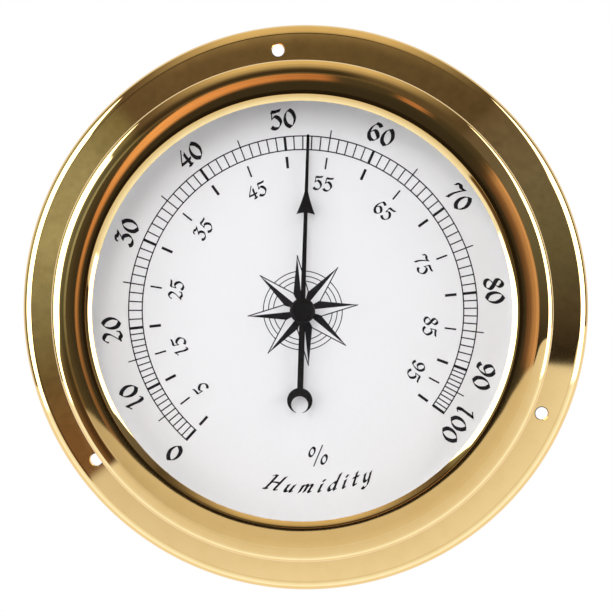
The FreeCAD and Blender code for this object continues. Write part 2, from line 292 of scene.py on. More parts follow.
def new_material(name):
    material = bpy.data.materials.new(name)
    return material, Net(material)


def add_object(name, data):
    piece = bpy.data.objects.new(name, data)
    bpy.context.scene.collection.objects.link(piece)
    return piece


# ---- materials


def turned_metal(name, bright, dull, roughness, rough_spread, marks, waviness):
    """Metal finished on a lathe: fine rings about the axis, faint waves and cloudy lacquer."""
    material, net = new_material(name)
    place = net.place()
    x, _, z = net.split(place)
    rings = net.noise(net.length(x, z), 5200.0, 3.0, "1D")
    waves = net.noise(place, 90.0, 1.0)
    clouds = net.noise(place, 260.0, 4.0)
    scuffs = net.noise(place, 2600.0)
    colour = net.mix(net.ramp(clouds, 0.35, 0.75), bright, dull)
    spread = net.times(net.ramp(scuffs, 0.3, 0.8), rough_spread)
    height = net.math("MULTIPLY_ADD", waves, waviness, net.times(rings, marks))
    principled(
        net,
        Base_Color=colour,
        Metallic=1.0,
        Roughness=net.math("ADD", spread, roughness),
        Normal=net.bump(height, mm(1.0)),
    )
    return material


def polished_brass():
    return turned_metal("polished_brass", (0.89, 0.635, 0.285, 1), (0.865, 0.61, 0.265, 1),
                        roughness=0.016, rough_spread=0.008, marks=0.00004, waviness=0.003)


def turned_brass():
    return turned_metal("turned_brass", (0.80, 0.58, 0.24, 1), (0.70, 0.48, 0.18, 1),
                        roughness=0.26, rough_spread=0.12, marks=0.004, waviness=0.02)


def bright_steel():
    return turned_metal("bright_steel", (0.62, 0.62, 0.63, 1), (0.50, 0.50, 0.51, 1),
                        roughness=0.24, rough_spread=0.10, marks=0.003, waviness=0.01)


def milled_aluminium():
    return turned_metal("milled_aluminium", (0.72, 0.72, 0.73, 1), (0.62, 0.62, 0.63, 1),
                        roughness=0.34, rough_spread=0.10, marks=0.003, waviness=0.01)


def coated_copper():
    """The coil's strip: copper-coloured, dulled by its humidity-sensitive coat."""
    return turned_metal("coated_copper", (0.66, 0.36, 0.20, 1), (0.48, 0.27, 0.17, 1),
                        roughness=0.38, rough_spread=0.14, marks=0.004, waviness=0.02)


def dial_enamel():
    """Satin white enamel with a very faint mottle."""
    material, net = new_material("dial_enamel")
    place = net.place()
    mottle = net.noise(place, 700.0, 3.0)
    colour = net.mix(mottle, (0.83, 0.832, 0.862, 1), (0.855, 0.857, 0.885, 1))
    principled(
        net,
        Base_Color=colour,
        Roughness=net.ramp(mottle, 0.2, 0.8, 0.42, 0.5),
        Normal=net.bump(net.noise(place, 5000.0, 1.0), mm(0.004)),
    )
    return material


def black_paint():
    """Glossy black paint with a faint orange-peel surface."""
    material, net = new_material("black_paint")
    place = net.place()
    peel = net.noise(place, 1800.0)
    colour = net.mix(peel, (0.006, 0.0055, 0.0062, 1), (0.010, 0.0092, 0.0102, 1))
    principled(
        net,
        Base_Color=colour,
        Roughness=net.ramp(peel, 0.2, 0.8, 0.16, 0.24),
        Specular_IOR_Level=0.2,
        Normal=net.bump(peel, mm(0.004)),
    )
    return material


def dial_ink():
    """Printed black ink, a little uneven in its cover."""
    material, net = new_material("dial_ink")
    cover = net.noise(net.place(), 1500.0, 3.0)
    colour = net.mix(net.ramp(cover, 0.3, 0.8), (0.007, 0.006, 0.008, 1), (0.016, 0.014, 0.018, 1))
    principled(
        net,
        Base_Color=colour,
        Roughness=net.ramp(cover, 0.2, 0.8, 0.55, 0.68),
        Specular_IOR_Level=0.12,
    )
    return material


def moulded_plastic(name, dark, light, roughness, grain_scale, grain_depth):
    """Moulded plastic with a fine leathery grain."""
    material, net = new_material(name)
    place = net.place()
    grain = net.noise(place, grain_scale)
    shade = net.noise(place, 60.0, 3.0)
    principled(
        net,
        Base_Color=net.mix(shade, dark, light),
        Roughness=net.ramp(grain, 0.2, 0.8, roughness, roughness + 0.12),
        Normal=net.bump(grain, grain_depth),
    )
    return material


def black_plastic():
    return moulded_plastic("black_plastic", (0.013, 0.013, 0.014, 1), (0.022, 0.022, 0.024, 1),
                           roughness=0.45, grain_scale=2200.0, grain_depth=mm(0.05))


def white_plastic():
    return moulded_plastic("white_plastic", (0.78, 0.78, 0.77, 1), (0.83, 0.83, 0.82, 1),
                           roughness=0.45, grain_scale=2600.0, grain_depth=mm(0.02))


def black_rubber():
    return moulded_plastic("black_rubber", (0.010, 0.010, 0.010, 1), (0.018, 0.018, 0.018, 1),
                           roughness=0.70, grain_scale=3000.0, grain_depth=mm(0.03))


def clear_glass():
    """Flat clear glass: all behind it is seen unbent, and its gloss grows at a low angle."""
    material, net = new_material("clear_glass")
    facing = net.add("ShaderNodeLayerWeight")
    facing.inputs["Blend"].default_value = 0.35
    smears = net.noise(net.place(), 45.0, 4.0)
    principled(
        net,
        Base_Color=(1.0, 1.0, 1.0, 1.0),
        Roughness=net.ramp(smears, 0.35, 0.8, 0.0, 0.03),
        Transmission_Weight=1.0,
        IOR=1.0,
        Coat_Weight=1.0,
        Coat_Roughness=0.01,
        Alpha=net.ramp(facing.outputs["Facing"], 0.0, 1.0, 0.05, 0.75),
    )
    return material


def paint_cad_nodes(enamel):
    """Give every CAD node the material of its slot, and return the materials by slot."""
    finishes = {
        "polished_brass": polished_brass(),
        "turned_brass": turned_brass(),
        "steel": bright_steel(),
        "movement_metal": milled_aluminium(),
        "coil_strip": coated_copper(),
        "dial_white": enamel,
        "black_paint": black_paint(),
        "black_plastic": black_plastic(),
        "white_plastic": white_plastic(),
        "black_rubber": black_rubber(),
        "clear_glass": clear_glass(),
    }
    for part in frame["record"]["subparts"]:
        node = frame["nodes"][part["node"]]
        for slot in node.material_slots:
            slot.material = finishes[part["material_slot"]]
    return finishes


# ---- turned shells


def round_axis(radius, height, degrees):
    """A point at a radius, a height off the wall and a dial angle, all in millimetres."""
    angle = math.radians(degrees)
    return mm(radius * math.sin(angle), -height, radius * math.cos(angle))


def neighbours(items):
    """Each item with the one after it, and the last with the first."""
    return list(zip(items, items[1:] + items[:1]))


def leaning(lean, degrees):
    """A direction that leans from straight forwards towards outwards, at a dial angle."""
    angle, lean = math.radians(degrees), math.radians(lean)
    return (math.sin(lean) * math.sin(angle), -math.cos(lean), math.sin(lean) * math.cos(angle))


class Shell:
    """A turned piece as one closed mesh, with its exact surface normal at every corner."""

    def __init__(self, name):
        self.name = name
        self.points = {}
        self.faces = []
        self.normals = []
        step = 360 / lathe_segments
        self.angles = [(turn + 0.5) * step for turn in range(lathe_segments)]

    def face(self, points, normals):
        """Add a face, wound so that it looks along its normals."""
        first, second, third = (Vector(point) for point in points[:3])
        if (second - first).cross(third - first).dot(Vector(normals[0])) < 0:
            points, normals = points[::-1], normals[::-1]
        self.faces.append([self.points.setdefault(point, len(self.points)) for point in points])
        self.normals.extend(normals)

    def quad(self, low, high, start, end):
        """A small face between two places of the section, from one dial angle to another."""
        points, normals = [], []
        for (radius, height, lean), degrees in ((low, start), (low, end), (high, end), (high, start)):
            points.append(round_axis(radius, height, degrees))
            normals.append(leaning(lean, degrees))
        self.face(points, normals)

    def sweep(self, *section):
        """Turn a run of places (radius, height, lean) about the axis."""
        for low, high in zip(section, section[1:]):
            for start, end in neighbours(self.angles):
                self.quad(low, high, start, end)

    def wall(self, lean, *section):
        """Turn straight walls that all have the same lean."""
        self.sweep(*[(radius, height, lean) for radius, height in section])

    def round(self, centre, radius, lean_from, lean_to):
        """Turn an arc about its centre: hollow when the radius is negative."""
        places = []
        for step in range(lathe_arc_steps + 1):
            lean = lean_from + (lean_to - lean_from) * step / lathe_arc_steps
            turned = math.radians(lean)
            places.append((centre[0] + radius * math.sin(turned),
                           centre[1] + radius * math.cos(turned), lean))
        self.sweep(*places)
        return places[-1][:2]

    def plate(self, inner_r, outer_r, height, lean, hole_r):
        """A flat ring with the three wall holes in it."""
        loops = [[round_axis(radius, height, degrees) for degrees in self.angles]
                 for radius in (outer_r, inner_r)]
        loops += [hole_loop(hole_r, height, degrees) for degrees in wall_hole_angles]
        points = [point for loop in loops for point in loop]
        flat = [[Vector((point[0], point[2], 0)) for point in loop] for loop in loops]
        for triangle in tessellate_polygon(flat):
            self.face([points[index] for index in triangle], [leaning(lean, 0)] * 3)

    def wall_hole(self, degrees, *section):
        """The side of one wall hole, between places of (radius, height, lean)."""
        middle = Vector(round_axis(wall_hole_circle_r, 0, degrees))
        for low, high in zip(section, section[1:]):
            lower, upper = [neighbours(hole_loop(*place[:2], degrees)) for place in (low, high)]
            for (start, end), (start_above, end_above) in zip(lower, upper):
                points = [start, end, end_above, start_above]
                normals = []
                for point, lean in zip(points, (low[2], low[2], high[2], high[2])):
                    inwards = (middle - Vector((point[0], 0, point[2]))).normalized()
                    turned = math.radians(lean)
                    normals.append(tuple(inwards * math.sin(turned)
                                         - Vector((0, math.cos(turned), 0))))
                self.face(points, normals)

    def drum_wall(self, radius, lean, low, high):
        """A drum wall pierced by the air holes."""
        half = air_hole_cells / 2
        half_step = 180 / lathe_segments
        rows = [low] + air_hole_rows() + [high]
        for start, end in neighbours(self.angles):
            pierced = any(abs(start + half_step - hole) < half for hole in air_hole_angles)
            for row, (bottom, top) in enumerate(zip(rows, rows[1:])):
                if not (pierced and 0 < row <= air_hole_cells):
                    self.quad((radius, bottom, lean), (radius, top, lean), start, end)
        for hole in air_hole_angles:
            edges = cell_border(hole)
            rim = neighbours([air_hole_point(hole, radius, edge) for edge in edges])
            border = neighbours([round_axis(radius, height, degrees) for degrees, height in edges])
            for (start, end), (rim_start, rim_end) in zip(border, rim):
                points = [start, end, rim_end, rim_start]
                turns = [math.degrees(math.atan2(point[0], point[2])) for point in points]
                self.face(points, [leaning(lean, degrees) for degrees in turns])

    def air_holes(self):
        """The sides of the air holes, through the drum's wall."""
        for hole in air_hole_angles:
            edges = cell_border(hole)
            outside = neighbours([air_hole_point(hole, drum_r, edge) for edge in edges])
            inside = neighbours([air_hole_point(hole, drum_inner_r, edge) for edge in edges])
            axis = Vector(round_axis(1000, 0, hole))
            middle = Vector(round_axis(0, air_hole_height, hole))
            for (start, end), (start_inside, end_inside) in zip(outside, inside):
                points = [start, end, end_inside, start_inside]
                normals = []
                for point in points:
                    away = Vector(point) - middle
                    away -= axis * away.dot(axis)
                    normals.append(tuple(-away.normalized()))
                self.face(points, normals)

    def finish(self, material):
        data = bpy.data.meshes.new(self.name)
        data.from_pydata(list(self.points), [], self.faces)
        data.polygons.foreach_set("use_smooth", [True] * len(data.polygons))
        data.normals_split_custom_set(self.normals)
        data.materials.append(material)
        piece = add_object(self.name, data)
        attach(piece, "case")
        return piece


def hole_loop(radius, height, degrees):
    """The edge of a wall hole as points."""
    middle = Vector(round_axis(wall_hole_circle_r, height, degrees))
    step = 360 / wall_hole_segments
    return [tuple(middle + Vector(round_axis(radius, 0, turn * step)))
            for turn in range(wall_hole_segments)]


def air_hole_rows():
    """Heights of the rows of cells round the air holes."""
    half = air_hole_cells / 2
    return [air_hole_height + (step - half) * air_hole_cell_height
            for step in range(air_hole_cells + 1)]


def cell_border(hole):
    """Grid points round the block of cells that an air hole takes, as (degrees, height)."""
    rows = air_hole_rows()
    columns = [hole - air_hole_cells / 2 + step for step in range(air_hole_cells + 1)]
    border = [(degrees, rows[0]) for degrees in columns]
    border += [(columns[-1], height) for height in rows[1:]]
    border += [(degrees, rows[-1]) for degrees in reversed(columns[:-1])]
    border += [(columns[0], height) for height in reversed(rows[1:-1])]
    return border


def air_hole_point(hole, radius, edge):
    """The point of an air hole's edge that lies towards a point of its cell's border."""
    degrees, height = edge
    towards = math.atan2(height - air_hole_height, math.radians(degrees - hole) * drum_r)
    across = air_hole_r * math.cos(towards)
    lean = math.degrees(math.asin(across / radius))
    return round_axis(radius, air_hole_height + air_hole_r * math.sin(towards), hole + lean)


def make_case_shell(brass):
    """The flange and drum, finer than the CAD's mesh so that mirrored edges run smoothly."""
    shell = Shell("case_shell_turned")
    round_centre = (flange_r - flange_edge_round, flange_thickness - flange_edge_round)
    root_centre = (drum_r + drum_root_round, flange_thickness + drum_root_round)
    root_top = flange_thickness + drum_root_round
    shell.plate(drum_inner_r, flange_r, 0, 180, wall_hole_r)
    shell.wall(90, (flange_r, 0), (flange_r, round_centre[1]))
    shell.round(round_centre, flange_edge_round, 90, 0)
    shell.plate(root_centre[0], round_centre[0], flange_thickness, 0,
                wall_hole_r + wall_hole_chamfer)
    shell.round(root_centre, -drum_root_round, 0, 90)
    shell.drum_wall(drum_r, 90, root_top, drum_height - rim_chamfer)
    shell.wall(45, (drum_r, drum_height - rim_chamfer), (drum_r - rim_chamfer, drum_height))
    shell.wall(0, (drum_r - rim_chamfer, drum_height), (drum_inner_r, drum_height))
    shell.drum_wall(drum_inner_r, -90, 0, drum_height)
    shell.air_holes()
    chamfer_back = flange_thickness - wall_hole_chamfer
    for degrees in wall_hole_angles:
        shell.wall_hole(degrees, (wall_hole_r, 0, 90), (wall_hole_r, chamfer_back, 90))
        shell.wall_hole(degrees, (wall_hole_r, chamfer_back, 45),
                        (wall_hole_r + wall_hole_chamfer, flange_thickness, 45))
    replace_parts(shell.finish(brass), "case_shell")


def make_front_bezel(brass):
    """The screw-on bezel, finer for the same reason."""
    bezel = Shell("front_bezel_turned")
    edge_r = bezel_r - bezel_edge_chamfer
    bezel.wall(180, (bezel_bore_r, bezel_skirt_start), (edge_r, bezel_skirt_start))
    bezel.wall(135, (edge_r, bezel_skirt_start), (bezel_r, bezel_skirt_start + bezel_edge_chamfer))
    bezel.wall(90, (bezel_r, bezel_skirt_start + bezel_edge_chamfer), (bezel_r, bezel_crown_start))
    here = (bezel_r, bezel_crown_start)
    for radius, lean_from, lean_to in bezel_crown:
        lean = math.radians(lean_from)
        centre = (here[0] - radius * math.sin(lean), here[1] - radius * math.cos(lean))
        here = bezel.round(centre, radius, lean_from, lean_to)
    bezel.wall(-90, here, (here[0], bezel_shoulder))
    bezel.wall(180, (here[0], bezel_shoulder), (bezel_bore_r, bezel_shoulder))
    bezel.wall(-90, (bezel_bore_r, bezel_shoulder), (bezel_bore_r, bezel_skirt_start))
    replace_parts(bezel.finish(brass), "front_bezel")


# ---- dial print


def on_dial(radius, degrees):
    """A point on the dial's face as (x, z), clockwise from 12 o'clock."""
    angle = math.radians(degrees)
    return Vector((radius * math.sin(angle), radius * math.cos(angle)))


def scale_angle(percent):
    """The dial angle of a reading."""
    for (low, low_angle), (high, high_angle) in zip(scale_points, scale_points[1:]):
        if percent <= high:
            return low_angle + (percent - low) * (high_angle - low_angle) / (high - low)


class Print:
    """One printed piece: closed, flat ink solids gathered in one mesh."""

    def __init__(self, name):
        self.name = name
        self.mesh = bmesh.new()

    def slab(self, outline, height):
        """A closed slab over an outline of points given in order."""
        top_y = dial_y - height
        front = [self.mesh.verts.new((p[0], top_y, p[1])) for p in outline]
        back = [self.mesh.verts.new((p[0], dial_y + ink_root, p[1])) for p in outline]
        self.mesh.faces.new(front)
        self.mesh.faces.new(list(reversed(back)))
        for (start, end), (back_start, back_end) in zip(neighbours(front), neighbours(back)):
            self.mesh.faces.new((end, start, back_start, back_end))

    def ribbon(self, left, right, height, closed=False):
        """A closed slab between two edges, as a strip of quads."""
        count = len(left)
        rows = []
        for side in (left, right):
            rows.append([self.mesh.verts.new((p[0], dial_y - height, p[1])) for p in side])
            rows.append([self.mesh.verts.new((p[0], dial_y + ink_root, p[1])) for p in side])
        front_left, back_left, front_right, back_right = rows
        for step in range(count if closed else count - 1):
            following = (step + 1) % count
            self.quad(front_left, front_right, step, following)
            self.quad(back_right, back_left, step, following)
            self.quad(back_left, front_left, step, following)
            self.quad(front_right, back_right, step, following)
        if not closed:
            for end in (0, count - 1):
                self.mesh.faces.new((front_left[end], front_right[end], back_right[end],
                                     back_left[end]))

    def quad(self, first, second, step, following):
        self.mesh.faces.new((first[step], first[following], second[following], second[step]))

    def line(self, start, end, width, height):
        along = (end - start).normalized()
        across = Vector((-along.y, along.x)) * (width / 2)
        self.slab((start + across, end + across, end - across, start - across), height)

    def arc(self, radius, width, start, end, height):
        """A ring or part of one, between two dial angles."""
        closed = end - start >= 360
        count = max(8, int((end - start) * 0.8))
        angles = [start + (end - start) * step / count for step in range(count + (not closed))]
        inner = [on_dial(radius - width / 2, angle) for angle in angles]
        outer = [on_dial(radius + width / 2, angle) for angle in angles]
        self.ribbon(inner, outer, height, closed)

    def finish(self, material, slot="black_paint"):
        bmesh.ops.recalc_face_normals(self.mesh, faces=self.mesh.faces)
        data = bpy.data.meshes.new(self.name)
        self.mesh.to_mesh(data)
        self.mesh.free()
        data.materials.append(material)
        piece = add_object(self.name, data)
        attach(piece, "case")


def make_scale(ink):
    """The band with its percent lines, and the short marks inside it."""
    band = Print("dial_scale_band")
    first, last = scale_angle(0), scale_angle(100)
    band.arc(band_outer_r, band_line, first, last, ink_height)
    band.arc(band_inner_r, band_line, first, last, ink_height)
    ticks = Print("dial_scale_ticks")
    marks = Print("dial_inner_marks")
    for percent in range(101):
        angle = scale_angle(percent)
        ten = percent % 10 == 0
        five = percent % 5 == 0
        reach = five_reach if five and not ten else 0
        width = ten_line if ten else band_line
        ticks.line(on_dial(band_inner_r - band_line / 2, angle),
                   on_dial(band_outer_r + band_line / 2 + reach, angle),
                   width, ink_height + ink_layer)
        if five:
            width = inner_ten_line if ten else inner_five_line
            marks.line(on_dial(inner_tick_inner_r, angle), on_dial(inner_tick_outer_r, angle),
                       width, ink_height)
    for piece in (band, ticks, marks):
        piece.finish(ink)


# Glyph strokes: how broad the pen is, then points joined by a smooth curve, in hundredths of
# the glyph's height. A numeral's box is 62 wide. The pen's nib slants, so a stroke swells and
# thins with its direction, and its ends are cut along the nib.


def oval(x, y, half_width, half_height, lean):
    """A closed, leaning oval as a stroke."""
    points = []
    for step in range(16):
        angle = math.tau * step / 16
        across = half_width * math.cos(angle)
        up = half_height * math.sin(angle)
        points.append((x + across + up * lean, y + up))
    return 1.0, points + [points[0]]


digits = {
    "0": [
        (1.0, [(28, 95), (46, 80), (56, 52), (50, 24), (36, 6)]),
        (1.0, [(28, 95), (12, 76), (6, 48), (14, 20), (36, 6)]),
    ],
    "1": [
        (1.0, [(14, 76), (28, 86), (38, 97)]),
        (1.0, [(37, 95), (35, 60), (32, 26), (36, 5)]),
        (0.8, [(33, 10), (42, 3), (54, 12)]),
    ],
    "2": [
        (1.0, [(6, 72), (16, 90), (32, 95), (49, 82), (46, 60), (28, 34), (5, 7)]),
        (1.0, [(5, 8), (20, 13), (38, 5), (60, 12)]),
        (0.6, [(52, 6), (61, 26)]),
    ],
    "3": [
        (0.8, [(6, 76), (12, 90)]),
        (1.0, [(10, 90), (24, 94), (38, 90), (55, 95)]),
        (1.0, [(54, 94), (26, 58)]),
        (1.0, [(24, 58), (42, 57), (54, 36), (44, 12), (26, 4)]),
        (1.0, [(5, 16), (14, 6), (28, 4)]),
    ],
    "4": [
        (1.0, [(44, 96), (5, 34)]),
        (0.9, [(3, 31), (28, 31), (62, 34)]),
        (1.0, [(45, 72), (44, 38), (45, 4)]),
        (0.6, [(30, 4), (44, 3), (58, 8)]),
    ],
    "5": [
        (0.25, [(15, 92), (11, 52)]),
        (1.1, [(14, 91), (34, 91), (58, 95)]),
        (1.0, [(10, 53), (28, 65), (46, 56), (55, 34), (44, 11), (28, 4)]),
        (1.0, [(5, 16), (15, 7), (30, 4)]),
    ],
    "6": [
        (1.0, [(28, 95), (42, 93), (56, 84)]),
        (1.0, [(30, 95), (12, 70), (6, 38), (16, 14), (34, 4)]),
        (1.0, [(10, 40), (27, 56), (44, 50), (56, 30), (48, 13), (34, 4)]),
    ],
    "7": [
        (0.8, [(6, 74), (11, 92)]),
        (1.0, [(8, 90), (24, 94), (40, 89), (60, 95)]),
        (1.0, [(58, 95), (42, 62), (32, 34), (29, 4)]),
    ],
    "8": [
        (1.0, [(50, 84), (36, 95), (18, 87), (15, 70), (30, 55), (46, 43),
               (55, 27), (46, 10), (30, 4)]),
        (0.9, [(30, 4), (12, 12), (9, 30), (26, 46), (44, 62), (51, 76), (44, 92), (34, 95)]),
    ],
    "9": [
        (1.0, [(6, 17), (18, 7), (34, 5)]),
        (1.0, [(28, 95), (47, 84), (56, 60), (49, 30), (32, 5)]),
        (1.0, [(28, 95), (11, 84), (6, 66), (15, 47), (32, 42), (52, 58)]),
    ],
}

# In heights of the numeral
digit_width = 0.62
digit_gap = 0.10

percent_sign = [
    oval(-27, 70, 12.5, 19.5, 0.35),
    oval(27, 28, 12.5, 19.5, 0.35),
    (0.7, [(27, 99), (-27, 0)]),
]

# Letters of the legend: width in hundredths of a capital's height, then strokes
letters = {
    "H": (74, [
        (0.7, [(0, 88), (8, 97), (18, 95)]),
        (1.0, [(18, 96), (18, 50), (17, 4)]),
        (0.7, [(6, 3), (18, 2), (28, 6)]),
        (1.0, [(60, 97), (59, 50), (58, 10)]),
        (0.7, [(57, 10), (63, 1), (74, 7)]),
        (0.7, [(18, 48), (38, 52), (58, 49)]),
    ]),
    "u": (46, [
        (0.7, [(0, 40), (8, 48)]),
        (1.0, [(8, 48), (7, 16), (14, 3), (26, 6), (34, 24)]),
        (1.0, [(35, 48), (34, 14), (38, 2), (46, 7)]),
    ]),
    "m": (66, [
        (0.7, [(0, 40), (7, 48)]),
        (1.0, [(7, 48), (7, 1)]),
        (1.0, [(7, 28), (18, 46), (28, 42), (29, 1)]),
        (1.0, [(29, 28), (40, 46), (50, 42), (50, 12), (55, 2), (64, 7)]),
    ]),
    "i": (22, [
        (0.7, [(0, 40), (8, 48)]),
        (1.0, [(8, 48), (7, 12), (12, 2), (20, 7)]),
        (1.0, [(5, 70), (12, 66)]),
    ]),
    "d": (46, [
        (1.0, [(34, 40), (22, 47), (8, 34), (5, 14), (14, 2), (26, 8), (34, 26)]),
        (1.0, [(36, 97), (34, 50), (34, 12), (38, 2), (46, 7)]),
    ]),
    "t": (30, [
        (1.0, [(13, 76), (12, 40), (11, 12), (16, 2), (28, 7)]),
        (0.8, [(0, 46), (12, 47), (27, 48)]),
    ]),
    "y": (44, [
        (0.7, [(0, 40), (8, 48)]),
        (1.0, [(8, 48), (7, 16), (14, 3), (26, 6), (35, 24)]),
        (1.0, [(36, 48), (34, 10), (30, -22), (16, -34), (4, -26)]),
    ]),
}


def smooth(points, pieces=7):
    """A smooth curve through points, in heights of the glyph. A closed one ends at its start."""
    closed = points[0] == points[-1]
    if closed:
        around = [points[-2]] + list(points) + [points[1]]
    else:
        around = [points[0]] + list(points) + [points[-1]]
    around = [Vector((x / 100, y / 100)) for x, y in around]
    curve = []
    for before, start, end, after in zip(around, around[1:], around[2:], around[3:]):
        for step in range(pieces):
            t = step / pieces
            curve.append(0.5 * (2 * start + (end - before) * t
                                + (2 * before - 5 * start + 4 * end - after) * t * t
                                + (3 * start - before - 3 * end + after) * t ** 3))
    if not closed:
        curve.append(around[-2])
    return curve, closed


# An end is cut along the nib where the nib points at least this much across the stroke
nib_cut_limit = 0.45


class Pen:
    """A broad pen: full width across its nib's direction, thin along it."""

    def __init__(self, broad, thin, nib_degrees):
        self.broad = broad
        self.thin = thin
        self.nib = math.radians(nib_degrees)

    def half_width(self, along, weight):
        turn = math.atan2(along.y, along.x) - self.nib
        return math.hypot(self.broad * weight / 2 * math.sin(turn), self.thin / 2)

    def cut(self, across):
        """How a stroke's end slants: along the nib as far as the stroke's direction lets it."""
        nib = Vector((math.cos(self.nib), math.sin(self.nib)))
        share = nib.dot(across.normalized())
        if abs(share) < nib_cut_limit:
            return across
        return nib * (across.length / share)

    def stroke(self, piece, stroke, to_dial, height):
        """Draw one stroke as a ribbon, after placing its points on the dial."""
        weight, points = stroke
        curve, closed = smooth(points)
        count = len(curve)
        left, right = [], []
        for step, point in enumerate(curve):
            ahead = curve[(step + 1) % count] if closed else curve[min(step + 1, count - 1)]
            behind = curve[step - 1] if closed else curve[max(step - 1, 0)]
            along = (ahead - behind).normalized()
            across = Vector((-along.y, along.x)) * self.half_width(along, weight)
            if not closed and step in (0, count - 1):
                across = self.cut(across)
            left.append(to_dial(point + across))
            right.append(to_dial(point - across))
        piece.ribbon(left, right, height, closed)


numeral_pen = Pen(0.205, 0.045, 47)
small_pen = Pen(0.175, 0.055, 47)
sign_pen = Pen(0.130, 0.050, 47)
legend_pen = Pen(0.195, 0.055, 40)


def glyph_frame(centre, turned, size, slant=0.0, pivot=(0.0, 0.5)):
    """A function that places glyph points, in units of the glyph's height, on the dial.

    turned is the dial angle that the glyph's top points to.
    """
    up = on_dial(1.0, turned)
    right = Vector((up.y, -up.x))

    def place(point):
        across = point[0] - pivot[0] + (point[1] - pivot[1]) * slant
        return centre + (right * across + up * (point[1] - pivot[1])) * size

    return place


def write_number(piece, text, radius, angle, size, pen):
    """A number centred on its mark, with its top outwards."""
    total = len(text) * digit_width + (len(text) - 1) * digit_gap
    for index, digit in enumerate(text):
        offset = index * (digit_width + digit_gap) + digit_width / 2 - total / 2
        lean = math.degrees(offset * size / radius)
        place = glyph_frame(on_dial(radius, angle + lean), angle + lean, size,
                            pivot=(digit_width / 2, 0.5))
        for order, stroke in enumerate(digits[digit]):
            pen.stroke(piece, stroke, place, ink_height + order * ink_layer)


def make_numbers(ink):
    tens = Print("dial_numbers_tens")
    fives = Print("dial_numbers_fives")
    for percent in range(0, 101, 5):
        angle = scale_angle(percent)
        if percent % 10 == 0:
            write_number(tens, str(percent), tens_r, angle, tens_height, numeral_pen)
        else:
            write_number(fives, str(percent), fives_r, angle, fives_height, small_pen)
    tens.finish(ink)
    fives.finish(ink)


def make_legend(ink):
    """A percent sign, and the legend on an arc that curves round the dial's lower edge."""
    sign = Print("dial_percent_sign")
    place = glyph_frame(on_dial(percent_r, 180), 0, percent_height)
    for order, stroke in enumerate(percent_sign):
        sign_pen.stroke(sign, stroke, place, ink_height + order * ink_layer)
    sign.finish(ink)
    legend = Print("dial_legend")
    widths = [letters[letter][0] / 100 * legend_stretch for letter in legend_text]
    offset = -(sum(widths) + legend_gap * (len(widths) - 1)) / 2
    for letter, width in zip(legend_text, widths):
        middle = offset + width / 2
        angle = 180 - math.degrees(middle * legend_height / legend_r)
        place = glyph_frame(on_dial(legend_r, angle), angle + 180, legend_height, legend_slant,
                            (width / 2, 0.5))
        for order, (weight, points) in enumerate(letters[letter][1]):
            wide = [(point[0] * legend_stretch, point[1]) for point in points]
            legend_pen.stroke(legend, (weight, wide), place, ink_height + order * ink_layer)
        offset += width + legend_gap
    legend.finish(ink)


def make_rose(ink, enamel):
    """Eight-pointed compass rose: each point half black and half white, over three fine rings."""
    rings = Print("rose_rings")
    for radius in rose_rings:
        rings.arc(radius, rose_ring_line, 0, 360, ink_layer)
    white = Print("rose_white")
    black = Print("rose_black")
    step = 360 / rose_points
    for point in range(rose_points):
        angle = point * step
        tip = on_dial(rose_tip_r, angle)
        before = on_dial(rose_waist_r, angle - step / 2)
        after = on_dial(rose_waist_r, angle + step / 2)
        middle = on_dial(rose_core_r, angle)
        white.slab((middle, tip, after), ink_layer * 2)
        black.slab((middle, before, tip), ink_layer * 4)
        black.line(tip, after, rose_outline, ink_layer * 3)
        black.line(middle, after, rose_outline, ink_layer * 3)
    rings.finish(ink)
    white.finish(enamel, "dial_white")
    black.finish(ink)


# ---- studio


def make_camera():
    azimuth = math.radians(camera_azimuth)
    elevation = math.radians(camera_elevation)
    away = Vector((math.sin(azimuth) * math.cos(elevation),
                   -math.cos(azimuth) * math.cos(elevation),
                   math.sin(elevation)))
    roll = math.radians(camera_roll)
    up = Vector((math.sin(roll), 0, math.cos(roll)))
    right = (-away).cross(up).normalized()
    up = right.cross(-away)
    camera = add_object("camera", bpy.data.cameras.new("camera"))
    camera.data.lens = camera_lens
    camera.data.clip_start = 0.05
    camera.data.clip_end = 20
    turned = Matrix((right, up, away)).transposed().to_4x4()
    camera.matrix_world = Matrix.Translation(camera_aim + away * camera_distance) @ turned
    bpy.context.scene.camera = camera


def make_floor():
    """A pale round floor, below the instrument."""
    data = bpy.data.meshes.new("floor")
    mesh = bmesh.new()
    bmesh.ops.create_circle(mesh, cap_ends=True, segments=96, radius=floor_r)
    mesh.to_mesh(data)
    mesh.free()
    floor = add_object("floor", data)
    floor.location = (0, -floor_forward, cad_box[0].z - floor_drop)
    material, net = new_material("pale_floor")
    tone = net.noise(net.place(), 3.0)
    principled(net, Base_Color=net.mix(tone, grey(0.80), grey(0.84)), Roughness=0.8)
    data.materials.append(material)
    floor.visible_glossy = False


